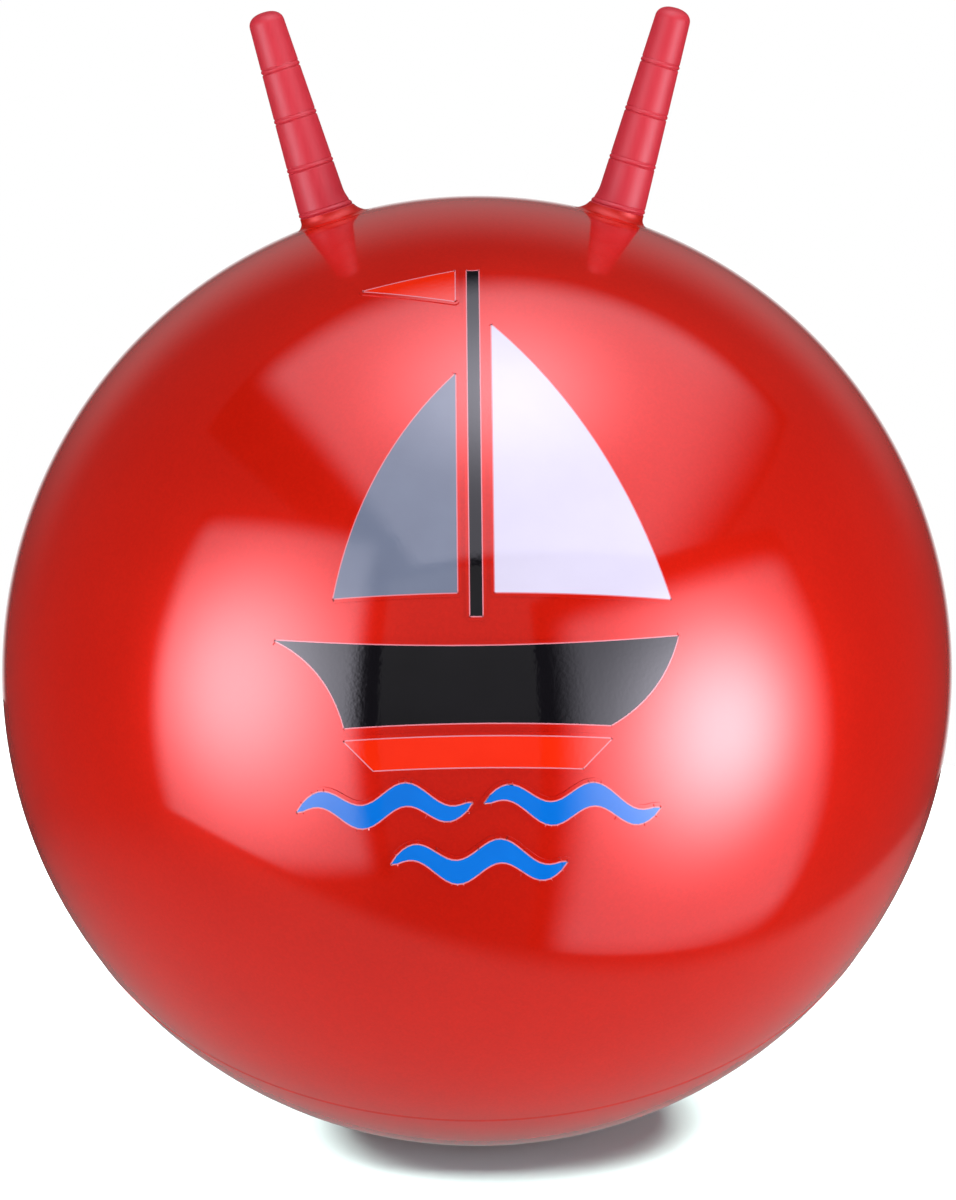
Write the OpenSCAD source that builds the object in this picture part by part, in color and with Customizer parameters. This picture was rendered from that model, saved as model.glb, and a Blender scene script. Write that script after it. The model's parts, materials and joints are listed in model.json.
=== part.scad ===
// Hopper ball: an inflated vinyl ball with two soft horn handles, a plugged air valve and a set of stickers.
// The origin is the middle of the patch that the ball rests on, +Z is up and the stickers face -Y.
// Left and right are as seen from the front.

/* [Ball] */
// Outside diameter of the inflated ball
ball_d = 450; // [400:5:600]
// Thickness of the stretched vinyl wall
shell_wall = 1.2; // [0.8:0.1:3]
// Diameter of the patch that the ball's weight flattens
foot_d = 60; // [30:1:90]
// Lean of the mould seam's axis towards the front, in degrees
seam_lean = 30; // [0:1:40]
// Distance of the seam's ring from the ball's centre, down along the seam's axis
seam_drop = 90; // [60:1:120]
// Diameter of the bead that the seam raises
seam_bead_d = 1; // [0.4:0.1:2]

/* [Handles] */
// Length of a handle from its base to its tip
handle_l = 96.5; // [85:0.5:120]
// Diameter of a handle at its base
handle_base_d = 23.8; // [20:0.2:30]
// Diameter of a handle under its domed tip
handle_tip_d = 16.6; // [13:0.2:19]
// Height of the domed tip
handle_dome_h = 6; // [4:0.5:8]
// Thickness of a handle's wall
handle_wall = 3; // [2:0.1:4]
// Lean of a handle from upright, in degrees
handle_lean = 16; // [8:0.5:22]
// Diameter of the round bead at a handle's base
base_bead_d = 2.6; // [1.6:0.2:4]
// Diameter of the round bead that makes a grip ring
ring_bead_d = 1.8; // [1:0.2:2.6]
// Height by which the beads stand out of a handle
bead_rise = 0.2; // [0.1:0.1:0.8]
// Height of the first grip ring above the base
ring_first = 23; // [15:0.5:28]
// Distance between grip rings
ring_pitch = 23.5; // [18:0.5:26]
// Number of grip rings on a handle
ring_count = 3; // [1:1:3]

/* [Handle roots] */
// Angle of a handle's root from the top of the ball, in degrees
root_angle = 17.5; // [14:0.5:28]
// Height of a handle's base above the ball's surface
root_h = 4.1; // [3:0.1:8]
// Radius of the fillet between a root and the ball
root_fillet = 5; // [2:0.5:10]
// Width of the ball's wall that belongs to a root outside its fillet
root_rim = 1.5; // [0.5:0.1:4]
// Gap between pieces that are moulded or welded together
weld_gap = 0.1; // [0.05:0.05:0.3]

/* [Valve] */
// Angle of the valve below the ball's widest line, at the back, in degrees
valve_drop = 40; // [20:1:60]
// Diameter of the air bore
valve_bore_d = 9; // [7:0.5:12]
// Length of the valve seat from the ball's surface to its inner end
seat_l = 26; // [24:1:36]
// Thickness of the seat's wall round the bore and the plug's head
seat_wall = 3; // [2:0.5:4]
// Diameter of the flange that is bonded inside the ball
flange_d = 44; // [38:1:60]
// Thickness of the flange
flange_t = 1.6; // [1:0.1:3]
// Thickness of the bond between the flange and the ball's wall
flange_bond = 0.3; // [0.2:0.1:0.6]
// Diameter of the plug's head
plug_head_d = 18; // [15:0.5:22]
// Thickness of the plug's head
plug_head_t = 2; // [1.5:0.1:3]
// Length of the plug's shank
plug_shank_l = 17; // [12:1:20]
// Length of the shank's tapered end
plug_taper_l = 4; // [2:0.5:6]
// Diameter of the shank's blunt tip
plug_tip_d = 4; // [2:0.5:6]
// Number of sealing ribs on the shank
plug_rib_count = 3; // [1:1:3]
// Length of a sealing rib along the shank
plug_rib_l = 1.6; // [1:0.2:2.4]
// Height of a sealing rib
plug_rib_h = 0.3; // [0.1:0.1:0.6]
// Clearance on each side between the plug and its seat
plug_clearance = 0.08; // [0.04:0.02:0.2]
// Depth of the plug's face below the ball's surface
plug_sink = 0.3; // [0.1:0.1:0.6]
// Radius of the notch that a fingernail lifts the plug by
notch_r = 3; // [2:0.5:4]

/* [Stickers] */
// Thickness of the sticker film
film_t = 0.25; // [0.1:0.05:0.5]
// Thickness of the adhesive under the film
glue_t = 0.1; // [0.05:0.05:0.2]
// Width of the clear margin round a print
film_margin = 2; // [1:0.5:3]
// Bare strip between two neighbouring films
film_gap = 1.5; // [1:0.5:4]
// Height of the picture's middle above the ball's widest line, in degrees
picture_rise = 24; // [10:1:35]
// Drop of the deck's ends below the picture's middle
deck_drop = 34; // [20:1:45]
// Length of the mast
mast_l = 168; // [150:1:180]
// Width of the mast
mast_w = 5; // [3:0.5:8]
// Height of the sails' feet above the mast's lower end
sail_lift = 10; // [5:1:15]
// Length of the mainsail along the mast
mainsail_luff = 126; // [100:1:130]
// Length of the mainsail's foot
mainsail_foot = 74; // [50:1:85]
// Length of the jib along the mast
jib_luff = 100; // [80:1:120]
// Length of the jib's foot
jib_foot = 52; // [40:1:70]
// Bow of the sails' free edges
sail_bow = 8; // [2:0.5:12]
// Length of the pennant
pennant_l = 40; // [25:1:50]
// Height of the pennant at the mast
pennant_h = 18; // [10:1:20]
// Length of the hull along the deck
hull_l = 170; // [130:1:180]
// Length of the hull along the keel
keel_l = 112; // [80:1:125]
// Depth of the hull
hull_depth = 38; // [25:1:45]
// Sag of the deck between its ends
deck_sag = 7; // [0:0.5:12]
// Curve of the hull's two ends, hollow at the bow and full at the stern
hull_bow = 5; // [1:0.5:8]
// Depth of the stripe under the hull
stripe_depth = 12; // [8:1:16]
// Length by which the stripe narrows at each end
stripe_narrowing = 12; // [4:1:20]
// Length of a wave
wave_l = 74; // [50:1:80]
// Width of a wave's line
wave_w = 9; // [6:0.5:11]
// Height of a wave's crest above its middle
wave_h = 4; // [2:0.5:6]
// Number of crests in a wave
wave_crests = 2; // [1:1:3]

/* [Hidden] */
$fn = 180;

// Cuts reach this far past the faces that they open
overcut = 2;
// Turn that keeps the line where a sphere's surface closes on itself away from every hole
sphere_turn = 50;
// Steps along a curved outline
outline_steps = 16;
// Sides of a full turn round a film's corners
corner_facets = 32;

ball_r = ball_d / 2;
ball_z = sqrt(ball_r * ball_r - foot_d * foot_d / 4);
lining_r = ball_r - shell_wall;
seam_r = sqrt(ball_r * ball_r - seam_drop * seam_drop);

handle_base_r = handle_base_d / 2;
handle_tip_r = handle_tip_d / 2;
handle_bore_r = handle_base_r - handle_wall;
grip_l = handle_l - handle_dome_h;

// The root's fillet touches the handle's side and the ball's surface
ball_below_root = ball_r + root_h;
fillet_x = handle_base_r + root_fillet;
fillet_y = sqrt(pow(ball_r + root_fillet, 2) - fillet_x * fillet_x) - ball_below_root;
toe_x = fillet_x * ball_r / (ball_r + root_fillet);
toe_angle = acos(fillet_x / (ball_r + root_fillet));
root_r = toe_x + root_rim;
root_depth = 2 * root_h + shell_wall;

valve_bore_r = valve_bore_d / 2;
head_r = plug_head_d / 2;
recess_r = head_r + plug_clearance;
recess_depth = plug_head_t + plug_sink + plug_clearance;
collar_r = recess_r + seat_wall;
collar_l = recess_depth + seat_wall;
rib_r = valve_bore_r - plug_clearance;
shank_r = rib_r - plug_rib_h;
flange_r = lining_r - flange_bond;
stem_r = valve_bore_r + seat_wall;
recess_floor = ball_r - recess_depth;
head_floor = recess_floor + plug_clearance;
shank_end = recess_floor - plug_shank_l;

print_gap = 2 * film_margin + film_gap;
mast_foot = print_gap - deck_drop;
mast_top = mast_foot + mast_l;
sail_foot = mast_foot + sail_lift;
luff_x = mast_w / 2 + print_gap;
keel_drop = deck_drop + hull_depth;
stripe_top = -keel_drop - print_gap;
wave_reach = wave_h + wave_w / 2;
wave_row = 2 * wave_reach + print_gap;
wave_middle = stripe_top - stripe_depth - print_gap - wave_reach;

// Height above the ball's centre of a sphere's surface, at a distance from the sphere's axis
function height_on(radius, across) = sqrt(radius * radius - across * across);

// Points along a sphere's section, from one distance from its axis to another
function round_line(radius, from, to) = [
    for (i = [0 : outline_steps])
        let (across = from + (to - from) * i / outline_steps)
        [across, height_on(radius, across)]
];

// The fillet's section, from its toe on the ball up to the handle's side
function fillet_arc() = [
    for (i = [0 : outline_steps])
        let (turn = 180 + toe_angle * (1 - i / outline_steps))
        [fillet_x + root_fillet * cos(turn), fillet_y + root_fillet * sin(turn)]
];

// Half the thickness of a handle at a height above its base, a straight taper up to the dome's foot
function grip_r(height) = handle_base_r + (handle_tip_r - handle_base_r) * height / grip_l;

// The side of a handle, set in from its outside, up to the dome's foot
function grip_side(inset) = [for (height = [0, grip_l]) [grip_r(height) - inset, height]];

// The dome on a handle's tip, set in from its outside
function grip_dome(inset) = [
    for (i = [1 : outline_steps])
        let (turn = 90 * i / outline_steps)
        [
            (grip_r(grip_l) - inset) * cos(turn),
            grip_l + (handle_dome_h - inset) * sin(turn)
        ]
];

// Points of an edge from one corner up to the next, bowed out to its right-hand side
function bowed_edge(from, to, bow) = [
    for (i = [0 : outline_steps - 1])
        let (t = i / outline_steps, run = to - from)
        from + t * run + 4 * bow * t * (1 - t) * [run[1], -run[0]] / norm(run)
];

// One side of a wavy line that thins out at both ends
function wave_side(side) = [
    for (i = [0 : 2 * outline_steps])
        let (t = i / (2 * outline_steps))
        [
            wave_l * (t - 0.5),
            wave_h * sin(360 * wave_crests * t) + side * wave_w / 2 * sqrt(sin(180 * t))
        ]
];

function reversed(points) = [for (i = [len(points) - 1 : -1 : 0]) points[i]];

// The right-hand side as it is, or its mirror image on the left
module on_side(side) {
    mirror([side == "left" ? 1 : 0, 0, 0]) children();
}

// A frame whose origin is the ball's centre and whose Z axis runs out through a root
module along_root() {
    translate([0, 0, ball_z]) rotate([0, root_angle, 0]) children();
}

// A frame whose origin is the middle of a handle's base and whose Z axis runs up the handle
module along_handle() {
    along_root() translate([0, 0, ball_below_root]) rotate([0, handle_lean - root_angle, 0]) children();
}

// A frame whose origin is the ball's centre and whose Z axis runs out through the valve
module along_valve() {
    translate([0, 0, ball_z]) rotate([-90 - valve_drop, 0, 0]) children();
}

// A frame whose origin is the ball's centre and whose Z axis runs out through the picture's middle
module along_picture() {
    translate([0, 0, ball_z]) rotate([90 - picture_rise, 0, 0]) children();
}

module plain_ball(radius) {
    rotate([0, 0, sphere_turn]) sphere(r = radius);
}

// The ball's outer surface, or one set in from it, with its flattened patch
module flattened_ball(inset) {
    intersection() {
        translate([0, 0, ball_z]) plain_ball(ball_r - inset);
        translate([-ball_r, -ball_r, inset]) cube([ball_d, ball_d, ball_d]);
    }
}

module mould_seam() {
    translate([0, 0, ball_z])
        rotate([seam_lean, 0, 0])
            translate([0, 0, -seam_drop])
                rotate_extrude() translate([seam_r, 0]) circle(d = seam_bead_d);
}

module ball_shell() {
    color("crimson")
        difference() {
            union() {
                flattened_ball(0);
                mould_seam();
            }
            flattened_ball(shell_wall);
            for (side = ["left", "right"])
                on_side(side)
                    along_root()
                        translate([0, 0, ball_r - root_depth])
                            cylinder(r = root_r + weld_gap, h = 2 * root_depth);
            along_valve()
                translate([0, 0, ball_r - collar_l])
                    cylinder(r = collar_r + weld_gap, h = 2 * collar_l);
        }
}

// Half of a root's cross-section before it is bored, with the handle's base at height 0
module root_section() {
    polygon(concat(
        [[0, overcut], [0, -root_depth], [root_r, -root_depth]],
        [[root_r, height_on(ball_r, root_r) - ball_below_root]],
        fillet_arc(),
        [[handle_base_r, overcut]]
    ));
}

module handle_root(side) {
    color("crimson")
        on_side(side)
            difference() {
                along_root() translate([0, 0, ball_below_root]) rotate_extrude() root_section();
                along_root() cylinder(r = handle_bore_r, h = ball_d);
                along_handle() cylinder(r = root_r, h = root_depth);
                translate([0, 0, ball_z]) plain_ball(lining_r);
            }
}

module bead(height, bead_d) {
    translate([grip_r(height) + bead_rise - bead_d / 2, height]) circle(d = bead_d);
}

// Half of a handle's cross-section, with its base at height 0
module handle_section() {
    difference() {
        union() {
            polygon(concat([[0, 0]], grip_side(0), grip_dome(0)));
            bead(base_bead_d / 2, base_bead_d);
            for (i = [0 : ring_count - 1])
                bead(ring_first + i * ring_pitch, ring_bead_d);
        }
        polygon(concat([[0, 0]], grip_side(handle_wall), grip_dome(handle_wall)));
    }
}

module handle(side) {
    color("palevioletred")
        on_side(side) along_handle() translate([0, 0, weld_gap]) rotate_extrude() handle_section();
}

// Half of the valve seat's cross-section, with the ball's centre at height 0
module seat_section() {
    polygon(concat(
        [[valve_bore_r, ball_r - seat_l], [stem_r, ball_r - seat_l]],
        [[stem_r, ball_r - collar_l], [collar_r, ball_r - collar_l]],
        round_line(flange_r - flange_t, collar_r, flange_d / 2),
        round_line(flange_r, flange_d / 2, collar_r),
        round_line(ball_r, collar_r, recess_r),
        [[recess_r, recess_floor], [valve_bore_r, recess_floor]]
    ));
}

module valve_seat() {
    color("firebrick")
        along_valve()
            difference() {
                rotate_extrude() seat_section();
                translate([0, recess_r, recess_floor]) cylinder(r = notch_r, h = recess_depth + overcut);
            }
}

// Half of the plug's cross-section, with the ball's centre at height 0
module plug_section() {
    polygon(concat(
        [[0, shank_end - plug_taper_l], [plug_tip_d / 2, shank_end - plug_taper_l], [shank_r, shank_end]],
        [[shank_r, head_floor], [head_r, head_floor]],
        round_line(ball_r - plug_sink, head_r, 0)
    ));
    for (i = [0 : plug_rib_count - 1])
        translate([0, shank_end + plug_shank_l * (i + 0.5) / plug_rib_count]) square([rib_r, plug_rib_l]);
}

module valve_plug() {
    color("whitesmoke") along_valve() rotate_extrude() plug_section();
}

// A film laid on the ball over an outline drawn in the picture's plane, with its clear margin
module film() {
    along_picture()
        intersection() {
            rotate([90, 0, 0])
                difference() {
                    plain_ball(ball_r + glue_t + film_t);
                    plain_ball(ball_r + glue_t);
                }
            linear_extrude(height = ball_d) offset(r = film_margin, $fn = corner_facets) children();
        }
}

module sail_print(luff, foot) {
    polygon(concat([[0, 0]], bowed_edge([foot, 0], [0, luff], sail_bow), [[0, luff]]));
}

module hull_print() {
    half_deck = hull_l / 2;
    half_keel = keel_l / 2;
    polygon(concat(
        bowed_edge([half_deck, -deck_drop], [-half_deck, -deck_drop], -deck_sag),
        bowed_edge([-half_deck, -deck_drop], [-half_keel, -keel_drop], -hull_bow),
        bowed_edge([-half_keel, -keel_drop], [half_keel, -keel_drop], 0),
        bowed_edge([half_keel, -keel_drop], [half_deck, -deck_drop], hull_bow)
    ));
}

module stripe_print() {
    half_top = keel_l / 2;
    half_bottom = half_top - stripe_narrowing;
    polygon([
        [-half_top, stripe_top],
        [half_top, stripe_top],
        [half_bottom, stripe_top - stripe_depth],
        [-half_bottom, stripe_top - stripe_depth]
    ]);
}

module wave_print() {
    polygon(concat(wave_side(1), reversed(wave_side(-1))));
}

module mast_sticker() {
    color("black") film() translate([-mast_w / 2, mast_foot]) square([mast_w, mast_l]);
}

module mainsail_sticker() {
    color("lavender") film() translate([luff_x, sail_foot]) sail_print(mainsail_luff, mainsail_foot);
}

module jib_sticker() {
    color("slategray") film() translate([-luff_x, sail_foot]) mirror([1, 0]) sail_print(jib_luff, jib_foot);
}

module pennant_sticker() {
    color("orangered")
        film()
            translate([-luff_x, mast_top])
                polygon([[0, 0], [0, -pennant_h], [-pennant_l, -pennant_h / 2]]);
}

module hull_sticker() {
    color("black") film() hull_print();
}

module stripe_sticker() {
    color("orangered") film() stripe_print();
}

module wave_sticker(across, rows_down) {
    color("dodgerblue")
        film()
            translate([across * (wave_l + print_gap) / 2, wave_middle - rows_down * wave_row])
                wave_print();
}

ball_shell();
handle_root("left");  // left_root
handle_root("right");  // right_root
handle("left");  // left_handle
handle("right");  // right_handle
valve_seat();
valve_plug();
mast_sticker();
mainsail_sticker();
jib_sticker();
pennant_sticker();
hull_sticker();
stripe_sticker();
wave_sticker(-1, 0);  // left_wave_sticker
wave_sticker(1, 0);  // right_wave_sticker
wave_sticker(0, 1);  // low_wave_sticker
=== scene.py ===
import json
from math import atan2, cos, exp, pi, radians, sin, sqrt, tan
import bpy
from mathutils import Matrix, Vector

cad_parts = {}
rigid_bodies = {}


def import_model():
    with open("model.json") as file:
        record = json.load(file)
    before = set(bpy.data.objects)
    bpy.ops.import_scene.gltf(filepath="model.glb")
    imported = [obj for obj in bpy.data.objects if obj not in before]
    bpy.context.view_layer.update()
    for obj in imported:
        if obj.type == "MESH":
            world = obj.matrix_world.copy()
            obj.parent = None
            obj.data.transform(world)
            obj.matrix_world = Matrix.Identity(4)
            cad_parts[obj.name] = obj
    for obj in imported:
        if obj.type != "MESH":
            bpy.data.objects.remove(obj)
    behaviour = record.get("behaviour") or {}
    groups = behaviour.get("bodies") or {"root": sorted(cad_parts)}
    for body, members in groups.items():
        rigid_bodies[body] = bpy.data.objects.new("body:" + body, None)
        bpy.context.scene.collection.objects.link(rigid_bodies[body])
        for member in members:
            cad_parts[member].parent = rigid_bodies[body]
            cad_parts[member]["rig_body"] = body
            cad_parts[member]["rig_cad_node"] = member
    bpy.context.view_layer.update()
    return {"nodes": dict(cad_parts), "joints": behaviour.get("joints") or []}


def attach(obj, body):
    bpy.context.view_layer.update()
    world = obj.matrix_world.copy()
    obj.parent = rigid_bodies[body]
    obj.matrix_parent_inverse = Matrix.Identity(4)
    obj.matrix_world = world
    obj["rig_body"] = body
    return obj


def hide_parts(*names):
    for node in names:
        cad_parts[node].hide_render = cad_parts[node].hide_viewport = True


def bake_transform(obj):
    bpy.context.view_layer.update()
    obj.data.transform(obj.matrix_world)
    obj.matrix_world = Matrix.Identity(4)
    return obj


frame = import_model()
joints = {joint["name"]: joint for joint in frame["joints"]}
mm = 0.001
sameSpot = 0.001 * mm  # points closer together than this are merged
onSurface = 0.03 * mm  # points closer than this to a round surface lie on it
print("frame loaded:", len(frame["nodes"]), "CAD nodes")


# small helpers

def onlyThis(obj):  # the one selected and active object, in object mode
    if bpy.context.object and bpy.context.object.mode != "OBJECT":
        bpy.ops.object.mode_set(mode="OBJECT")
    bpy.ops.object.select_all(action="DESELECT")
    if obj:
        obj.select_set(True)
        bpy.context.view_layer.objects.active = obj


def pickFaces(obj, wanted):  # edit mode, with the faces chosen by their middle and normal
    bpy.ops.object.mode_set(mode="EDIT")
    bpy.ops.mesh.select_mode(type="FACE")
    bpy.ops.mesh.select_all(action="DESELECT")
    bpy.ops.object.mode_set(mode="OBJECT")
    for face in obj.data.polygons:
        face.select = wanted(face)
    bpy.ops.object.mode_set(mode="EDIT")


def applyModifier(obj, kind, **settings):
    onlyThis(obj)
    modifier = obj.modifiers.new(kind.lower(), kind)
    for key, value in settings.items():
        setattr(modifier, key, value)
    bpy.ops.object.modifier_apply(modifier=modifier.name)


def turnProfile(name, points, steps):  # points are (radius, height), spun round the local Z axis
    onlyThis(None)
    bpy.ops.mesh.primitive_plane_add(size=mm)
    obj = bpy.context.object
    obj.name = name
    bpy.ops.object.mode_set(mode="EDIT")
    bpy.ops.mesh.select_mode(type="VERT")
    bpy.ops.mesh.select_all(action="SELECT")
    bpy.ops.mesh.merge(type="CENTER")
    bpy.ops.transform.translate(value=(points[0][0], 0, points[0][1]))
    for (r0, z0), (r1, z1) in zip(points, points[1:]):
        bpy.ops.mesh.extrude_vertices_move(TRANSFORM_OT_translate={"value": (r1 - r0, 0, z1 - z0)})
    bpy.ops.mesh.select_all(action="SELECT")
    bpy.ops.mesh.spin(steps=steps, angle=2 * pi, center=(0, 0, 0), axis=(0, 0, 1))
    bpy.ops.mesh.select_all(action="SELECT")
    bpy.ops.mesh.remove_doubles(threshold=sameSpot)
    bpy.ops.mesh.normals_make_consistent(inside=False)
    bpy.ops.object.mode_set(mode="OBJECT")
    return obj


def facesOut(face):  # looks away from the middle of the ball
    return face.normal.dot((face.center - ballCentre).normalized()) > 0.9


def roundNormals(obj, radius):  # exact ball normals on the faces that lie on the ball
    mesh = obj.data
    normals = []
    for face in mesh.polygons:
        outer = facesOut(face)
        for index in face.vertices:
            out = mesh.vertices[index].co - ballCentre
            onBall = outer and abs(out.length - radius) < onSurface
            normals.append(out.normalized() if onBall else Vector((0, 0, 0)))
    mesh.normals_split_custom_set(normals)


# materials

def srgb(code, scale=1):
    parts = [int(code[i:i + 2], 16) / 255 for i in (1, 3, 5)]
    linear = [p / 12.92 if p <= 0.04045 else ((p + 0.055) / 1.055) ** 2.4 for p in parts]
    return [p * scale for p in linear] + [1]


def addNode(tree, kind, inputs=None, **settings):  # a node with its settings, values and links
    node = tree.nodes.new(kind)
    for key, value in settings.items():
        setattr(node, key, value)
    for socket, value in (inputs or {}).items():
        if isinstance(value, bpy.types.NodeSocket):
            tree.links.new(value, node.inputs[socket])
        else:
            node.inputs[socket].default_value = value
    return node


def newMaterial(name, surface):  # a Principled material with its fixed values set
    material = bpy.data.materials.new(name)
    material.use_nodes = True
    shader = material.node_tree.nodes["Principled BSDF"]
    for socket, value in surface.items():
        shader.inputs[socket].default_value = value
    return material, material.node_tree, shader


pearl = {
    "deep": "#c71708", "light": "#d01d0c",  # slow drift of the pigment in the wall
    "cloud": 60 * mm,
    "flake": 1.1 * mm,  # real mica is under 0.1 mm, drawn coarser so that it shows
    "flakeTilt": 0.02, "flakeDepth": 0.1 * mm, "glint": (0.95, 1.05),
    "ripple": 34 * mm, "rippleStrength": 0.35, "rippleDepth": 0.15 * mm,  # slack waves of the blown wall
    "mica": 0.40,  # how far the flakes make the wall shine like metal
    "glossIor": 1.66,
}


# rotation-moulded PVC with mica: a red glow in the wall under a wet gloss
def makePearlVinyl(name, gloss, haze, spread, depth):
    material, tree, shader = newMaterial(name, {
        "Metallic": pearl["mica"], "Roughness": spread, "Specular IOR Level": 0.0,
        "Coat Weight": gloss, "Coat Roughness": haze, "Coat IOR": pearl["glossIor"],
    })
    place = addNode(tree, "ShaderNodeTexCoord").outputs["Object"]
    cloud = addNode(tree, "ShaderNodeTexNoise", {"Vector": place, "Scale": 1 / pearl["cloud"], "Detail": 3})
    flake = addNode(tree, "ShaderNodeTexVoronoi", {"Vector": place, "Scale": 1 / pearl["flake"]})
    # a depth below 1 darkens the pigment colours; on the root this is painted shade
    drift = addNode(tree, "ShaderNodeMix", {
        "Factor": cloud.outputs["Fac"], 6: srgb(pearl["deep"], depth), 7: srgb(pearl["light"], depth)},
        data_type="RGBA")
    dull, bright = pearl["glint"]
    glint = addNode(tree, "ShaderNodeMapRange", {
        "Value": flake.outputs["Color"], "To Min": dull, "To Max": bright})
    colour = addNode(tree, "ShaderNodeMix", {
        "Factor": 1, 6: drift.outputs[2], 7: glint.outputs["Result"]},
        data_type="RGBA", blend_type="MULTIPLY")
    tilt = addNode(tree, "ShaderNodeBump", {
        "Height": flake.outputs["Color"], "Strength": pearl["flakeTilt"], "Distance": pearl["flakeDepth"]})
    ripple = addNode(tree, "ShaderNodeTexNoise", {"Vector": place, "Scale": 1 / pearl["ripple"], "Detail": 1})
    slack = addNode(tree, "ShaderNodeBump", {
        "Height": ripple.outputs["Fac"],
        "Strength": pearl["rippleStrength"], "Distance": pearl["rippleDepth"]})
    tree.links.new(colour.outputs[2], shader.inputs["Base Color"])
    tree.links.new(tilt.outputs["Normal"], shader.inputs["Normal"])
    tree.links.new(slack.outputs["Normal"], shader.inputs["Coat Normal"])
    return material


satin = {
    "deep": "#b3242e", "light": "#bd2a35",
    "drag": (1.4 * mm, 28 * mm),  # mould drag marks: narrow across, long up the handle
    "sheen": (0.38, 0.56),  # roughness from mark to mark
    "grain": 0.5 * mm, "grainStrength": 0.15, "grainDepth": 0.05 * mm,
    "ior": 1.54, "shine": 0.42,
}


def makeSatinVinyl():  # dip-moulded PVC skin: a soft pinkish sheen with faint lengthwise drag marks
    material, tree, shader = newMaterial("satinVinyl", {
        "IOR": satin["ior"], "Specular IOR Level": satin["shine"]})
    place = addNode(tree, "ShaderNodeTexCoord").outputs["Object"]
    across, along = satin["drag"]
    stretch = addNode(tree, "ShaderNodeMapping", {
        "Vector": place, "Scale": (1 / across, 1 / across, 1 / along)})
    drag = addNode(tree, "ShaderNodeTexNoise", {"Vector": stretch.outputs["Vector"], "Scale": 1, "Detail": 2})
    grain = addNode(tree, "ShaderNodeTexNoise", {"Vector": place, "Scale": 1 / satin["grain"], "Detail": 2})
    colour = addNode(tree, "ShaderNodeMix", {
        "Factor": drag.outputs["Fac"], 6: srgb(satin["deep"]), 7: srgb(satin["light"])}, data_type="RGBA")
    smooth, rough = satin["sheen"]
    sheen = addNode(tree, "ShaderNodeMapRange", {
        "Value": drag.outputs["Fac"], "To Min": smooth, "To Max": rough})
    tooth = addNode(tree, "ShaderNodeBump", {
        "Height": grain.outputs["Fac"], "Strength": satin["grainStrength"], "Distance": satin["grainDepth"]})
    tree.links.new(colour.outputs[2], shader.inputs["Base Color"])
    tree.links.new(sheen.outputs["Result"], shader.inputs["Roughness"])
    tree.links.new(tooth.outputs["Normal"], shader.inputs["Normal"])
    return material


film = {
    "peel": 1.8 * mm, "peelStrength": 0.45, "peelDepth": 0.04 * mm,  # dimples of the pressed-on film
    "inkDrift": 18 * mm,
    "inkSpread": 0.30, "haze": 0.04, "glossIor": 1.66,
}


def makePrintedFilm(name, ink, thinInk):  # screen-printed PVC film: solid ink under gloss, slightly dimpled
    material, tree, shader = newMaterial(name, {
        "Roughness": film["inkSpread"], "Specular IOR Level": 0.0,
        "Coat Weight": 1.0, "Coat Roughness": film["haze"], "Coat IOR": film["glossIor"],
    })
    place = addNode(tree, "ShaderNodeTexCoord").outputs["Object"]
    drift = addNode(tree, "ShaderNodeTexNoise", {"Vector": place, "Scale": 1 / film["inkDrift"], "Detail": 2})
    colour = addNode(tree, "ShaderNodeMix", {
        "Factor": drift.outputs["Fac"], 6: srgb(ink), 7: srgb(thinInk)}, data_type="RGBA")
    peel = addNode(tree, "ShaderNodeTexNoise", {"Vector": place, "Scale": 1 / film["peel"], "Detail": 1})
    dimples = addNode(tree, "ShaderNodeBump", {
        "Height": peel.outputs["Fac"], "Strength": film["peelStrength"], "Distance": film["peelDepth"]})
    tree.links.new(colour.outputs[2], shader.inputs["Base Color"])
    tree.links.new(dimples.outputs["Normal"], shader.inputs["Normal"])
    tree.links.new(dimples.outputs["Normal"], shader.inputs["Coat Normal"])
    return material


pearlVinyl = makePearlVinyl("pearlVinyl", gloss=1.0, haze=0.085, spread=0.29, depth=1)
# duller where the wall is drawn out into a root, and darker in colour: painted shade where the handle meets
# the ball
stretchedShadedVinyl = makePearlVinyl("stretchedShadedPearlVinyl", gloss=0.5, haze=0.42, spread=0.55, depth=0.85)
satinVinyl = makeSatinVinyl()
films = {
    "black": makePrintedFilm("blackFilm", "#0b0a0c", "#121113"),
    "white": makePrintedFilm("whiteFilm", "#c0bdc8", "#c6c3ce"),
    "grey": makePrintedFilm("greyFilm", "#626a77", "#6b7481"),
    "orange": makePrintedFilm("orangeFilm", "#d62206", "#de2a0c"),
    "blue": makePrintedFilm("blueFilm", "#0863b6", "#0a6bc1"),
    "underprintHighlight": makePrintedFilm("underprintHighlightFilm", "#c87478", "#ce7e82"),  # thin white over red, which also paints the highlight along the film's cut edge
}
print("materials made:", len(bpy.data.materials))


# the ball

ball = {
    "radius": 225 * mm, "wall": 1.2 * mm,
    "footRadius": 30 * mm,  # flat patch it stands on
    "segments": 240, "rings": 120,
    "seamLean": radians(30), "seamDrop": 90 * mm,  # mould seam: its tilt, and how far below the middle
    "seamHalfWidth": 0.9 * mm, "seamRise": 0.2 * mm, "seamRows": 4,
    "handleHole": 13.2 * mm, "valveHole": 12.13 * mm, "holeSteps": 96, "cutDepth": 40 * mm,
}
ballRadius = ball["radius"]
ballCentre = Vector((0, 0, sqrt(ballRadius ** 2 - ball["footRadius"] ** 2)))
seamNormal = Vector((0, -sin(ball["seamLean"]), cos(ball["seamLean"])))
valveOut = Vector(joints["valve_plug_pull"]["axis"]).normalized()


def handleAxis(side):  # square to both hinges of that handle
    sway = Vector(joints[side + "_handle_sway"]["axis"])
    axis = sway.cross(Vector((0, 1, 0)))
    return axis.normalized() if axis.z > 0 else -axis.normalized()


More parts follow.
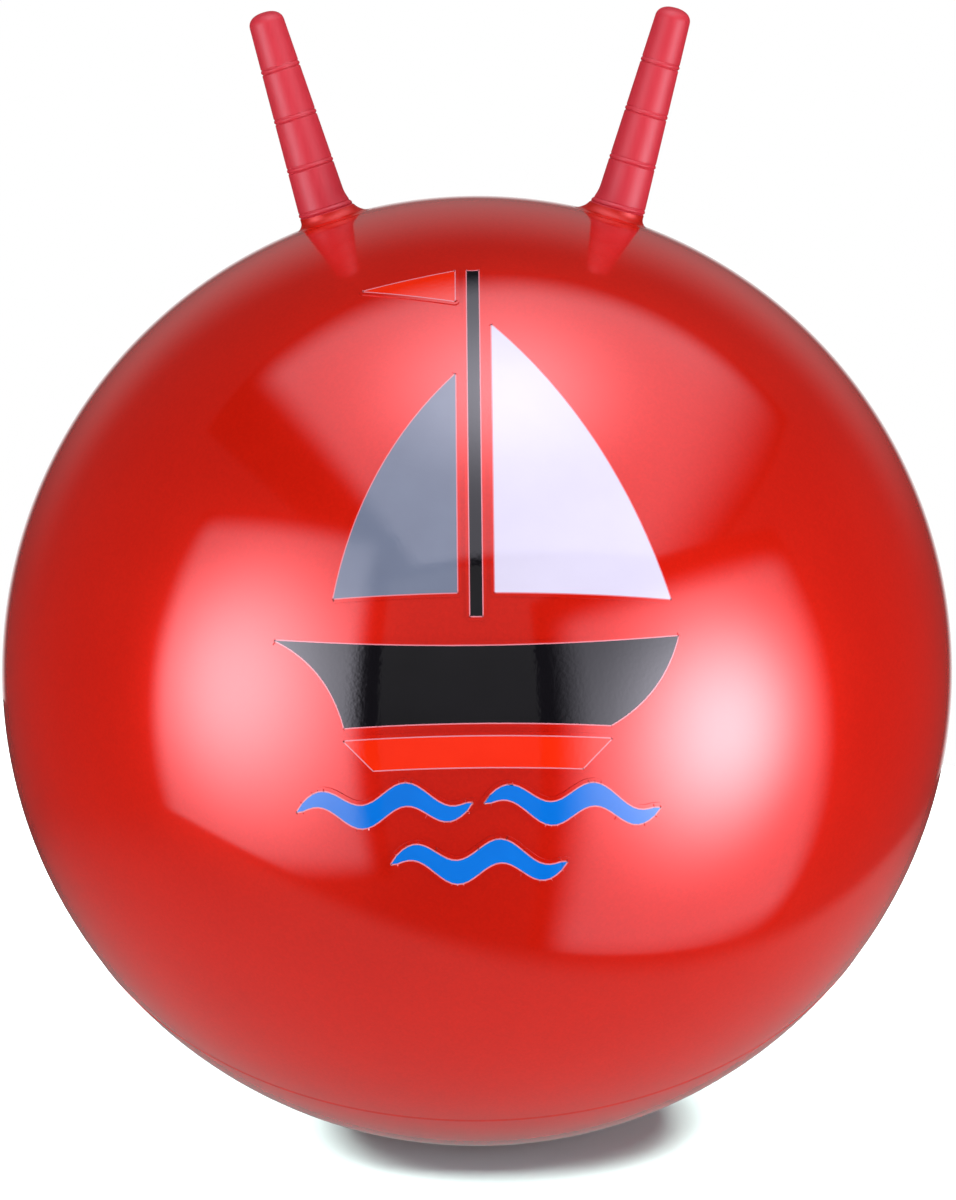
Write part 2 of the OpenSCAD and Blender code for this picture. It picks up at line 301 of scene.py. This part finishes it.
def cutHole(obj, point, axis, radius):  # a round hole through the skin
    onlyThis(None)
    turn = axis.to_track_quat("Z", "Y").to_euler()
    bpy.ops.mesh.primitive_cylinder_add(
        vertices=ball["holeSteps"], radius=radius, depth=ball["cutDepth"], location=point, rotation=turn)
    cutter = bpy.context.object
    applyModifier(obj, "BOOLEAN", object=cutter, operation="DIFFERENCE", solver="EXACT")
    onlyThis(cutter)
    bpy.ops.object.delete()
    onlyThis(obj)


def makeBallSkin():
    onlyThis(None)
    bpy.ops.mesh.primitive_uv_sphere_add(
        segments=ball["segments"], ring_count=ball["rings"], radius=ballRadius,
        location=ballCentre, rotation=(ball["seamLean"], 0, 0))
    obj = bpy.context.object
    obj.name = "ballSkin"
    bpy.ops.object.transform_apply(location=True, rotation=True, scale=True)
    seamPoint = ballCentre - seamNormal * ball["seamDrop"]
    bpy.ops.object.mode_set(mode="EDIT")
    bpy.ops.mesh.select_all(action="SELECT")
    bpy.ops.mesh.bisect(plane_co=seamPoint, plane_no=seamNormal)
    bpy.ops.mesh.bevel(offset=ball["seamHalfWidth"], segments=ball["seamRows"], affect="EDGES")
    bpy.ops.object.mode_set(mode="OBJECT")
    for vert in obj.data.vertices:  # a ridge of flash, with a groove along its upper side
        above = seamNormal.dot(vert.co - seamPoint) / ball["seamHalfWidth"]
        if abs(above) < 0.9:  # the rows between the two edges of the strip
            out = (vert.co - ballCentre).normalized()
            vert.co = ballCentre + out * (ballRadius - ball["seamRise"] * sin(pi * above))
    bpy.ops.object.mode_set(mode="EDIT")
    bpy.ops.mesh.select_all(action="SELECT")
    bpy.ops.mesh.bisect(plane_co=(0, 0, 0), plane_no=(0, 0, 1), use_fill=True, clear_inner=True)
    bpy.ops.object.mode_set(mode="OBJECT")
    for side in ("left", "right"):
        pivot = Vector(joints[side + "_handle_sway"]["pos_m"])
        cutHole(obj, pivot, handleAxis(side), ball["handleHole"])
    cutHole(obj, ballCentre + valveOut * ballRadius, valveOut, ball["valveHole"])
    inside = ballRadius - 0.5 * mm
    aboveFoot = 1 * mm
    pickFaces(obj, lambda face: face.center.z > aboveFoot and (face.center - ballCentre).length < inside)
    bpy.ops.mesh.delete(type="FACE")  # the pockets that the cutters left, so that the skin is one sheet
    bpy.ops.object.mode_set(mode="OBJECT")
    applyModifier(obj, "SOLIDIFY", thickness=ball["wall"], offset=-1)
    bpy.ops.object.shade_smooth_by_angle(angle=radians(35))
    roundNormals(obj, ballRadius)
    obj.data.materials.append(pearlVinyl)
    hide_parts("ball_shell")
    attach(obj, "ball")
    print("ball skin:", len(obj.data.polygons), "faces")


makeBallSkin()


# the two handles and the flared roots they grow from

handle = {
    "length": 96.5 * mm, "baseRadius": 11.9 * mm, "tipRadius": 8.3 * mm,
    "wall": 3 * mm, "dome": 6 * mm, "domePower": 2.3,
    "flare": 2.4 * mm, "flareHeight": 9 * mm,  # the foot runs out towards the other handle
    "beads": [1.5 * mm, 23 * mm, 46.5 * mm, 70 * mm],  # one at the base and three grip rings
    "beadHalfWidth": 0.8 * mm, "beadRise": 0.22 * mm,
    "grooveHalfWidth": 0.5 * mm, "grooveDepth": 0.42 * mm,  # below each bead
    "upperGroove": 0.6,  # the groove above it, as a share of that depth
    "grooveClear": 0.6,  # from the bead's edge to a groove's middle, in groove half widths
    "steps": 80, "rowStep": 1 * mm, "domeRows": 14,
    "fineRows": 11, "fineStep": 0.19 * mm,  # on each side of a bead
    "boreEvery": 6,  # the bore needs fewer rows
    "bendStart": 0.5 * mm, "bendEnd": 15 * mm,  # soft part over the root; the grip above stays straight
}
root = {
    "height": 4.1 * mm,  # from the hinge to the ring where the handle starts
    "neck": 1.4 * mm,  # straight part under the ring, on the outer side
    "lip": 2.2 * mm, "lipProud": 0.04 * mm, "lipFall": 0.6,  # thin edge that lies on the ball
    "holeSlack": 0.2 * mm, "holeProud": 0.005 * mm,  # the part that drops through the hole in the ball
    "arcRows": 12, "lipRows": 4, "steps": 80,
    "glossFrom": 0.6,  # share of the flare above its glossy toe
}


def bump(x):  # a smooth hill, 1 at 0 and 0 past 1
    return (1 - x * x) ** 2 if abs(x) < 1 else 0


def gripRadius(height):
    share = height / (handle["length"] - handle["dome"])
    radius = handle["baseRadius"] + (handle["tipRadius"] - handle["baseRadius"]) * share
    gap = handle["beadHalfWidth"] + handle["grooveClear"] * handle["grooveHalfWidth"]
    upperDepth = handle["upperGroove"] * handle["grooveDepth"]
    for middle in handle["beads"]:
        radius += handle["beadRise"] * bump((height - middle) / handle["beadHalfWidth"])
        radius -= handle["grooveDepth"] * bump((height - middle + gap) / handle["grooveHalfWidth"])
        radius -= upperDepth * bump((height - middle - gap) / handle["grooveHalfWidth"])
    return radius


def flareAt(height, angle):  # extra radius near the base, all on the inner side
    inward = (1 - cos(angle)) / 2
    share = max(0, 1 - height / handle["flareHeight"])
    return handle["flare"] * inward ** 4 * share ** 2


def handleProfile():
    top = handle["length"] - handle["dome"]
    heights = {0.0, top}
    step = 0
    while step * handle["rowStep"] < top:
        heights.add(step * handle["rowStep"])
        step += 1
    fine = handle["fineRows"]
    for middle in handle["beads"]:
        for i in range(-fine, fine + 1):
            spot = middle + i * handle["fineStep"]
            if 0 < spot < top:
                heights.add(spot)
    heights = sorted(heights)
    boreTop = top - handle["wall"]
    bore = [(0, boreTop)]
    for height in reversed(heights[::handle["boreEvery"]]):
        if height < boreTop:
            bore.append((gripRadius(height) - handle["wall"], height))
    side = [(gripRadius(height), height) for height in heights]
    power = handle["domePower"]
    dome = []
    for i in range(1, handle["domeRows"] + 1):
        share = sin(i / handle["domeRows"] * pi / 2)
        radius = gripRadius(top) * max(0, 1 - share ** power) ** (1 / power)
        dome.append((radius, top + handle["dome"] * share))
    return bore + side + dome


def ringPoint(side):  # middle of the ring where the handle starts
    return Vector(joints[side + "_handle_sway"]["pos_m"]) + handleAxis(side) * root["height"]


def outwardAxis(axis):  # square to the handle, away from the other one
    outward = Vector((axis.x, 0, 0))
    return (outward - axis * outward.dot(axis)).normalized()


def standOn(obj, point, axis):  # local Z along the handle and local X outwards
    xAxis = outwardAxis(axis)
    yAxis = axis.cross(xAxis)
    turn = Matrix((xAxis, yAxis, axis)).transposed().to_4x4()
    obj.matrix_world = Matrix.Translation(point) @ turn
    onlyThis(obj)
    bpy.ops.object.transform_apply(location=True, rotation=True, scale=True)


def rootPoint(row, angle, middle):  # one point of the flare, in the handle's own frame
    boreR = handle["baseRadius"] - handle["wall"]
    ringR = handle["baseRadius"] + flareAt(0, angle)
    slope = atan2(2 * flareAt(0, angle), handle["flareHeight"])
    inPlane = Vector((middle.x * cos(angle), middle.z))  # the ball is a circle in this plane
    planeR = sqrt(ballRadius ** 2 - (middle.x * sin(angle)) ** 2)

    def onBall(r, proud):
        return r, inPlane.y + sqrt((planeR + proud) ** 2 - (r - inPlane.x) ** 2)

    neck = root["neck"] * (1 + cos(angle)) / 2
    start = Vector((ringR + neck * tan(slope), -neck))
    out = Vector((cos(slope), sin(slope)))
    rise = start - inPlane
    # radius of the fillet that touches both the handle's side and the ball
    fillet = (rise.length_squared - planeR ** 2) / (2 * (planeR - rise.dot(out)))
    turnPoint = start + out * fillet
    firstTurn = slope - pi
    lastTurn = atan2(inPlane.y - turnPoint.y, inPlane.x - turnPoint.x)
    arcEnd = 2 + root["arcRows"]
    lipEnd = arcEnd + root["lipRows"]
    hole = ball["handleHole"] - root["holeSlack"]
    if row == 0:
        return boreR, 0
    if row == 1:
        return ringR, 0
    if row <= arcEnd:
        turn = firstTurn + (lastTurn - firstTurn) * (row - 2) / root["arcRows"]
        return turnPoint.x + fillet * cos(turn), turnPoint.y + fillet * sin(turn)
    if row <= lipEnd:
        share = (row - arcEnd) / root["lipRows"]
        toe = turnPoint.x + fillet * cos(lastTurn)
        return onBall(toe + root["lip"] * share, root["lipProud"] * (1 - root["lipFall"] * share))
    if row == lipEnd + 1:
        return onBall(hole, root["holeProud"])
    if row == lipEnd + 2:
        return onBall(hole, -ball["wall"])
    if row == lipEnd + 3:
        return onBall(boreR, -ball["wall"])
    return boreR, 0


def makeRoot(side):
    rows = 2 + root["arcRows"] + root["lipRows"] + 5
    rowStep = 0.01 * handle["baseRadius"]
    flat = [(handle["baseRadius"] + row * rowStep, 0) for row in range(rows)]
    obj = turnProfile(side + "Root", flat, root["steps"])
    axis = handleAxis(side)
    ring = ringPoint(side)
    fromRing = ballCentre - ring
    middle = Vector((fromRing.dot(outwardAxis(axis)), 0, fromRing.dot(axis)))
    for face in obj.data.polygons:  # the toe of the flare is as glossy as the ball
        row = (Vector((face.center.x, face.center.y)).length - handle["baseRadius"]) / rowStep
        face.material_index = 1 if row > 2 + root["glossFrom"] * root["arcRows"] else 0
    for vert in obj.data.vertices:
        row = round((Vector((vert.co.x, vert.co.y)).length - handle["baseRadius"]) / rowStep)
        angle = atan2(vert.co.y, vert.co.x)
        r, z = rootPoint(row, angle, middle)
        vert.co = (r * cos(angle), r * sin(angle), z)
    onlyThis(obj)
    bpy.ops.object.mode_set(mode="EDIT")
    bpy.ops.mesh.select_all(action="SELECT")
    bpy.ops.mesh.remove_doubles(threshold=sameSpot)
    bpy.ops.mesh.normals_make_consistent(inside=False)
    bpy.ops.object.mode_set(mode="OBJECT")
    standOn(obj, ring, axis)
    bpy.ops.object.shade_smooth_by_angle(angle=radians(40))
    obj.data.materials.append(stretchedShadedVinyl)
    obj.data.materials.append(pearlVinyl)
    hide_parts(side + "_root")
    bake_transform(obj)


def makeHandle(side):
    axis = handleAxis(side)
    ring = ringPoint(side)
    obj = turnProfile(side + "Handle", handleProfile(), handle["steps"])
    for vert in obj.data.vertices:
        r = Vector((vert.co.x, vert.co.y)).length
        if vert.co.z < handle["flareHeight"] and r > gripRadius(vert.co.z) - handle["wall"] / 2:
            grow = 1 + flareAt(vert.co.z, atan2(vert.co.y, vert.co.x)) / r
            vert.co.x *= grow
            vert.co.y *= grow
    standOn(obj, ring, axis)
    bpy.ops.object.shade_smooth_by_angle(angle=radians(40))
    obj.data.materials.append(satinVinyl)
    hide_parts(side + "_handle")
    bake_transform(obj)
    return obj


for side in ("left", "right"):
    makeRoot(side)
    made = makeHandle(side)
    print(side, "handle and root:", len(made.data.polygons), "faces on the handle")


# the stickers, cut from the outlines of the CAD films

stickers = {
    "rise": radians(24),  # the picture faces a little upwards
    "margin": 1.94 * mm,  # clear film round each print, just short of its corner rounding
    "glue": 0.1 * mm, "film": 0.25 * mm,
    "marginCuts": 3,  # into quarters, the inner one for the underprint and its painted edge highlight
    "cell": 5 * mm, "reach": (0.1, 0.22),  # grid that bends with the ball, and half its width and height
    "prints": {
        "mast_sticker": "black", "mainsail_sticker": "white", "jib_sticker": "grey",
        "pennant_sticker": "orange", "hull_sticker": "black", "stripe_sticker": "orange",
        "left_wave_sticker": "blue", "right_wave_sticker": "blue", "low_wave_sticker": "blue",
    },
}
pictureOut = Vector((0, -cos(stickers["rise"]), sin(stickers["rise"])))
pictureUp = Vector((0, sin(stickers["rise"]), cos(stickers["rise"])))
filmRadius = ballRadius + stickers["glue"] + stickers["film"]


def makeSticker(node, ink):
    onlyThis(frame["nodes"][node])
    bpy.ops.object.duplicate()
    obj = bpy.context.object
    obj.parent = None
    obj.name = node.replace("_", " ").title().replace(" ", "")
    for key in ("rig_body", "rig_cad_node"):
        del obj[key]
    bpy.ops.object.mode_set(mode="EDIT")
    bpy.ops.mesh.select_all(action="SELECT")
    bpy.ops.mesh.remove_doubles(threshold=sameSpot)
    bpy.ops.object.mode_set(mode="OBJECT")
    top = filmRadius - stickers["film"] / 2
    pickFaces(obj, lambda face: (face.center - ballCentre).length < top or not facesOut(face))
    bpy.ops.mesh.delete(type="FACE")  # only the outer face is kept
    bpy.ops.mesh.select_all(action="SELECT")
    bpy.ops.mesh.dissolve_faces()
    bpy.ops.object.mode_set(mode="OBJECT")
    for vert in obj.data.vertices:  # lay it flat
        vert.co -= pictureOut * pictureOut.dot(vert.co - ballCentre)
    obj.data.materials.clear()
    for material in (pearlVinyl, films["underprintHighlight"], films[ink]):  # margin, underprint with painted edge highlight, print
        obj.data.materials.append(material)
    bpy.ops.object.mode_set(mode="EDIT")
    bpy.ops.mesh.select_all(action="SELECT")
    bpy.ops.mesh.inset(thickness=stickers["margin"], use_boundary=True, use_even_offset=True)
    obj.active_material_index = 2
    bpy.ops.object.material_slot_assign()
    bpy.ops.mesh.select_all(action="INVERT")
    bpy.ops.mesh.subdivide(number_cuts=stickers["marginCuts"])
    bpy.ops.mesh.select_all(action="DESELECT")
    bpy.ops.object.material_slot_select()
    bpy.ops.mesh.select_more()
    bpy.ops.object.material_slot_deselect()
    obj.active_material_index = 1  # the strip next to the print: white underprint and painted edge highlight
    bpy.ops.object.material_slot_assign()
    for direction, reach in zip((Vector((1, 0, 0)), pictureUp), stickers["reach"]):
        count = int(reach / stickers["cell"])
        for i in range(-count, count + 1):
            bpy.ops.mesh.select_all(action="SELECT")
            bpy.ops.mesh.bisect(plane_co=ballCentre + direction * (i * stickers["cell"]), plane_no=direction)
    bpy.ops.object.mode_set(mode="OBJECT")
    for vert in obj.data.vertices:  # press it onto the ball
        flat = vert.co - ballCentre
        vert.co += pictureOut * sqrt(filmRadius ** 2 - flat.length_squared)
    applyModifier(obj, "SOLIDIFY", thickness=stickers["glue"] + stickers["film"], offset=-1)
    bpy.ops.object.shade_smooth_by_angle(angle=radians(30))
    roundNormals(obj, filmRadius)
    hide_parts(node)
    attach(obj, "ball")
    return obj


for node, ink in stickers["prints"].items():
    made = makeSticker(node, ink)
    print(made.name, len(made.data.polygons), "faces")


# the air valve, on its CAD solids

valve = {
    "seat": "#b5171a", "seatRoughness": 0.35,
    "plug": "#e9e7e2", "plugRoughness": 0.4,
    "grain": 0.6 * mm, "grainStrength": 0.2, "grainDepth": 0.05 * mm,
    "ior": 1.5,
}


def makeSoftPlastic(name, code, roughness):  # injection-moulded plastic with fine moulded grain
    material, tree, shader = newMaterial(name, {"Roughness": roughness, "IOR": valve["ior"]})
    place = addNode(tree, "ShaderNodeTexCoord").outputs["Object"]
    grain = addNode(tree, "ShaderNodeTexNoise", {"Vector": place, "Scale": 1 / valve["grain"], "Detail": 2})
    colour = addNode(tree, "ShaderNodeMix", {
        "Factor": grain.outputs["Fac"], 6: srgb(code, 0.94), 7: srgb(code, 1.04)}, data_type="RGBA")
    tooth = addNode(tree, "ShaderNodeBump", {
        "Height": grain.outputs["Fac"], "Strength": valve["grainStrength"], "Distance": valve["grainDepth"]})
    tree.links.new(colour.outputs[2], shader.inputs["Base Color"])
    tree.links.new(tooth.outputs["Normal"], shader.inputs["Normal"])
    return material


valveFinishes = {
    "valve_seat": makeSoftPlastic("valveVinyl", valve["seat"], valve["seatRoughness"]),
    "valve_plug": makeSoftPlastic("plugPolyethylene", valve["plug"], valve["plugRoughness"]),
}
for node, material in valveFinishes.items():
    data = frame["nodes"][node].data
    data.materials.clear()
    data.materials.append(material)
print("valve finished")


# where the camera stands; the backdrop lies straight behind the ball from there

shot = {
    "distance": 1.8,  # eight ball radii
    "elevation": radians(11), "aimAbove": radians(1.06), "aimRight": 0.00047, "roll": radians(-0.64),
    "lens": 113.1, "sensor": 36,  # both in mm
}


# studio: table, three softboxes, a white backdrop behind

studio = {
    "table": {  # round paper sweep
        "middle": (-0.24, 0.35), "radius": 0.71,
        "paper": "#747474",
        "seen": "#a2b2af",  # the paper as the camera sees it; its cool tint is painted, to cancel the red light the ball throws into its shadow, so that the shadow stays grey
        "shade": 0.045,  # painted light: a glow that only the camera sees, which keeps the shadow from going black
        # painted reflection: the paper glows to rays from the ball's gloss, brightest near the bright spot,
        # dim far from it, and how it fades
        "mirrored": 0.30, "far": 0.05, "bright": (0.08, -0.12), "fade": (0.20, 0.76), "rim": 0.04,
    },
    "backdrop": {  # angles in degrees
        "edge": 50, "full": 26,
        "light": 0.35, "low": 0.05, "high": 0.24, "rise": (-4, 20),
        "paper": 0.9, "paperEdge": 22, "paperFull": 9,  # white paper straight behind the ball
    },
    "room": {  # soft bounce, little of it mirrored
        "light": 0.06, "ceiling": 0.40,
        "mirrored": 0.05, "front": 0.24, "facing": (-0.3, -0.9), "rise": (-60, 30),
    },
    "tableLampDistance": 2.0, "tableLampSize": (1.4, 0.45),
    "tableLamps": {
        "frontTableLamp": {"azimuth": 0, "elevation": 42, "power": 177},
        "leftTableLamp": {"azimuth": -90, "elevation": 34, "power": 197},
        "rightTableLamp": {"azimuth": 90, "elevation": 46, "power": 179},
    },
    "lampTint": "#f3f0ff",  # daylight tubes, a little cool
    # each softbox: bearing from the ball, place of its middle along (right, up, away), its turn,
    # and how widely the cloth dims towards its left, right, lower and upper edge
    "boxes": {
        "leftBox": {"azimuth": -57, "elevation": 0, "middle": (0.097, 0.063, 0.995), "turn": -19.5, "roll": 0,
                    "size": (0.915, 1.30), "feather": (0.18, 0.09, 0.16, 0.14),
                    "glow": 1.05, "hot": 6.4, "hotPlace": (0.015, 0.02), "hotWidth": 0.26},
        "rightBox": {"azimuth": 60, "elevation": -8, "middle": (-0.08, -0.18, 1.06), "turn": 18, "roll": 8,
                     "size": (1.26, 1.64), "feather": (0.20, 0.32, 0.36, 0.16),
                     "glow": 1.1, "hot": 10.2, "hotPlace": (-0.03, 0.25), "hotWidth": 0.245},
        "topBox": {"azimuth": 0, "elevation": 90, "middle": (0.31, -0.53, 1.0), "turn": 0, "roll": 11,
                   "size": (1.75, 1.63), "feather": (0.16, 0.80, 0.14, 0.20),
                   "glow": 1.25, "hot": 3.3, "hotPlace": (-0.17, 0.229), "hotWidth": 0.24},
    },
}


def bearing(azimuth, elevation):  # unit vectors right, up and away, as seen from the ball
    a, e = radians(azimuth), radians(elevation)
    away = Vector((sin(a) * cos(e), -cos(a) * cos(e), sin(e)))
    right = Vector((cos(a), sin(a), 0))
    return right, right.cross(-away), away


def makeTable():
    onlyThis(None)
    spec = studio["table"]
    bpy.ops.mesh.primitive_circle_add(vertices=128, radius=spec["radius"], fill_type="NGON",
                                      location=(spec["middle"][0], spec["middle"][1], 0))
    obj = bpy.context.object
    obj.name = "table"
    bpy.ops.object.transform_apply(location=True, rotation=True, scale=True)
    material = bpy.data.materials.new("tablePaper")
    material.use_nodes = True
    tree = material.node_tree
    tree.nodes.clear()
    path = addNode(tree, "ShaderNodeLightPath")
    place = addNode(tree, "ShaderNodeTexCoord").outputs["Object"]
    away = addNode(tree, "ShaderNodeVectorMath", {
        0: place, 1: (spec["bright"][0], spec["bright"][1], 0)}, operation="DISTANCE")
    fade = addNode(tree, "ShaderNodeMapRange", {
        "Value": away.outputs["Value"], "From Min": spec["fade"][0], "From Max": spec["fade"][1],
        "To Min": spec["mirrored"], "To Max": spec["far"]}, interpolation_type="SMOOTHSTEP")
    out = addNode(tree, "ShaderNodeVectorMath", {
        0: place, 1: (spec["middle"][0], spec["middle"][1], 0)}, operation="DISTANCE")
    rim = addNode(tree, "ShaderNodeMapRange", {
        "Value": out.outputs["Value"], "From Min": spec["radius"] - spec["rim"], "From Max": spec["radius"],
        "To Min": fade.outputs["Result"], "To Max": spec["far"]}, interpolation_type="SMOOTHSTEP")
    # painted light: the paper glows to glossy rays and, faintly, to the camera; the lamps do not give this
    # glow
    lift = addNode(tree, "ShaderNodeMapRange", {
        "Value": path.outputs["Is Glossy Ray"], "To Min": 0, "To Max": rim.outputs["Result"]})
    lift = addNode(tree, "ShaderNodeMapRange", {
        "Value": path.outputs["Is Camera Ray"], "To Min": lift.outputs["Result"], "To Max": spec["shade"]})
    tone = addNode(tree, "ShaderNodeMix", {
        "Factor": path.outputs["Is Camera Ray"], 6: srgb(spec["paper"]), 7: srgb(spec["seen"])},
        data_type="RGBA")
    # glossy rays see the paper black, so the ball mirrors only the painted glow
    tone = addNode(tree, "ShaderNodeMix", {
        "Factor": path.outputs["Is Glossy Ray"], 6: tone.outputs[2], 7: (0, 0, 0, 1)},
        data_type="RGBA")
    paper = addNode(tree, "ShaderNodeBsdfDiffuse", {"Color": tone.outputs[2]})
    glow = addNode(tree, "ShaderNodeEmission", {"Strength": lift.outputs["Result"]})
    both = addNode(tree, "ShaderNodeAddShader", {0: paper.outputs[0], 1: glow.outputs[0]})
    addNode(tree, "ShaderNodeOutputMaterial", {"Surface": both.outputs[0]})
    obj.data.materials.append(material)
    return obj


def makeTableLamps(table):  # these light the table alone, so that the paper is white round the ball's shadow
    only = bpy.data.collections.new("tableOnly")
    only.objects.link(table)
    for name, spec in studio["tableLamps"].items():
        right, up, away = bearing(spec["azimuth"], spec["elevation"])
        onlyThis(None)
        bpy.ops.object.light_add(type="AREA", location=away * studio["tableLampDistance"])
        lamp = bpy.context.object
        lamp.name = name
        lamp.data.shape = "RECTANGLE"
        lamp.data.size, lamp.data.size_y = studio["tableLampSize"]
        lamp.data.energy = spec["power"]
        lamp.rotation_euler = Matrix((right, up, away)).transposed().to_euler()
        lamp.light_linking.receiver_collection = only


def makeBox(name, spec):
    axes = bearing(spec["azimuth"], spec["elevation"])
    middle = ballCentre + sum((axis * step for axis, step in zip(axes, spec["middle"])), Vector())
    onlyThis(None)
    bpy.ops.mesh.primitive_plane_add(size=1)
    obj = bpy.context.object
    obj.name = name
    left, right, low, high = spec["feather"]
    width, height = spec["size"]
    obj.scale = (width + max(left, right), height + max(low, high), 1)
    bpy.ops.object.transform_apply(location=False, rotation=False, scale=True)
    stand = Matrix((axes[0], axes[1], -axes[2])).transposed()
    stand = stand @ Matrix.Rotation(radians(spec["turn"]), 3, "Y")
    stand = stand @ Matrix.Rotation(radians(spec["roll"]), 3, "Z")
    obj.matrix_world = Matrix.Translation(middle) @ stand.to_4x4()
    obj.visible_camera = False
    obj.visible_shadow = False  # it stays out of the way of the table lamps
    material = bpy.data.materials.new(name + "Cloth")
    material.use_nodes = True
    tree = material.node_tree
    tree.nodes.clear()
    place = addNode(tree, "ShaderNodeTexCoord").outputs["Object"]
    hot = Vector((spec["hotPlace"][0], spec["hotPlace"][1], 0))
    gap = addNode(tree, "ShaderNodeVectorMath", {0: place, 1: hot}, operation="DISTANCE")
    ratio = addNode(tree, "ShaderNodeMath", {0: gap.outputs["Value"], 1: spec["hotWidth"]},
                    operation="DIVIDE")
    square = addNode(tree, "ShaderNodeMath", {0: ratio.outputs[0], 1: ratio.outputs[0]},
                     operation="MULTIPLY")
    fall = addNode(tree, "ShaderNodeMath", {0: exp(-0.5), 1: square.outputs[0]}, operation="POWER")
    strength = addNode(tree, "ShaderNodeMath", {0: fall.outputs[0], 1: spec["hot"], 2: spec["glow"]},
                       operation="MULTIPLY_ADD")
    spot = addNode(tree, "ShaderNodeSeparateXYZ", {0: place})
    for axis, edge, soft in (("X", -width / 2, left), ("X", width / 2, right),
                             ("Y", -height / 2, low), ("Y", height / 2, high)):
        inward = -soft / 2 if edge > 0 else soft / 2
        fade = addNode(tree, "ShaderNodeMapRange", {
            "Value": spot.outputs[axis], "From Min": edge - inward, "From Max": edge + inward},
            interpolation_type="SMOOTHSTEP")
        strength = addNode(tree, "ShaderNodeMath", {0: strength.outputs[0], 1: fade.outputs["Result"]},
                           operation="MULTIPLY")
    lamp = addNode(tree, "ShaderNodeEmission", {
        "Color": srgb(studio["lampTint"]), "Strength": strength.outputs[0]})
    addNode(tree, "ShaderNodeOutputMaterial", {"Surface": lamp.outputs[0]})
    obj.data.materials.append(material)


def makeWorld():  # white to the camera; the ball mirrors a dim backdrop behind it and a dark room
    world = bpy.data.worlds.new("studio")
    bpy.context.scene.world = world
    world.use_nodes = True
    tree = world.node_tree
    tree.nodes.clear()
    spec = studio["backdrop"]
    generated = addNode(tree, "ShaderNodeTexCoord").outputs["Generated"]
    way = addNode(tree, "ShaderNodeSeparateXYZ", {0: generated})
    path = addNode(tree, "ShaderNodeLightPath")
    walls = studio["room"]
    low, high = (sin(radians(angle)) for angle in walls["rise"])
    front = addNode(tree, "ShaderNodeMapRange", {
        "Value": way.outputs["Z"], "From Min": low, "From Max": high, "To Min": 0, "To Max": walls["front"]})
    facing = addNode(tree, "ShaderNodeMapRange", {
        "Value": way.outputs["Y"], "From Min": walls["facing"][0], "From Max": walls["facing"][1],
        "To Min": walls["mirrored"], "To Max": front.outputs["Result"]}, interpolation_type="SMOOTHSTEP")
    bounce = addNode(tree, "ShaderNodeMapRange", {
        "Value": way.outputs["Z"], "To Min": walls["light"], "To Max": walls["ceiling"]})
    room = addNode(tree, "ShaderNodeMapRange", {
        "Value": path.outputs["Is Glossy Ray"],
        "To Min": bounce.outputs["Result"], "To Max": facing.outputs["Result"]})
    low, high = (sin(radians(angle)) for angle in spec["rise"])
    climb = addNode(tree, "ShaderNodeMapRange", {
        "Value": way.outputs["Z"], "From Min": low, "From Max": high,
        "To Min": spec["low"], "To Max": spec["high"]}, interpolation_type="SMOOTHSTEP")
    sightline = Vector((0, cos(shot["elevation"]), -sin(shot["elevation"])))
    near = addNode(tree, "ShaderNodeVectorMath", {0: generated, 1: sightline}, operation="DOT_PRODUCT")
    glare = addNode(tree, "ShaderNodeMapRange", {
        "Value": near.outputs["Value"], "To Max": spec["paper"],
        "From Min": cos(radians(spec["paperEdge"])), "From Max": cos(radians(spec["paperFull"]))},
        interpolation_type="SMOOTHSTEP")
    both = addNode(tree, "ShaderNodeMath", {0: climb.outputs["Result"], 1: glare.outputs["Result"]},
                   operation="MAXIMUM")
    drop = addNode(tree, "ShaderNodeMapRange", {
        "Value": path.outputs["Is Glossy Ray"], "To Min": spec["light"], "To Max": both.outputs[0]})
    behind = addNode(tree, "ShaderNodeMapRange", {
        "Value": way.outputs["Y"],
        "From Min": cos(radians(spec["edge"])), "From Max": cos(radians(spec["full"])),
        "To Min": room.outputs["Result"], "To Max": drop.outputs["Result"]},
        interpolation_type="SMOOTHSTEP")
    seen = addNode(tree, "ShaderNodeMath", {0: path.outputs["Is Camera Ray"], 1: behind.outputs["Result"]},
                   operation="MAXIMUM")
    sky = addNode(tree, "ShaderNodeBackground", {"Color": (1, 1, 1, 1), "Strength": seen.outputs[0]})
    addNode(tree, "ShaderNodeOutputWorld", {"Surface": sky.outputs[0]})


makeTableLamps(makeTable())
for name, spec in studio["boxes"].items():
    makeBox(name, spec)
makeWorld()
print("studio made")


# camera

def makeCamera():
    onlyThis(None)
    away = Vector((0, -cos(shot["elevation"]), sin(shot["elevation"])))
    bpy.ops.object.camera_add(location=ballCentre + away * shot["distance"])
    obj = bpy.context.object
    obj.name = "photoCamera"
    obj.data.lens = shot["lens"]
    obj.data.sensor_width = shot["sensor"]
    turn = (Matrix.Rotation(-shot["aimRight"], 3, "Z")
            @ Matrix.Rotation(pi / 2 - shot["elevation"] + shot["aimAbove"], 3, "X")
            @ Matrix.Rotation(shot["roll"], 3, "Z"))
    obj.rotation_euler = turn.to_euler()
    bpy.context.scene.camera = obj


makeCamera()
bpy.context.scene.view_settings.view_transform = "Standard"
print("camera set")
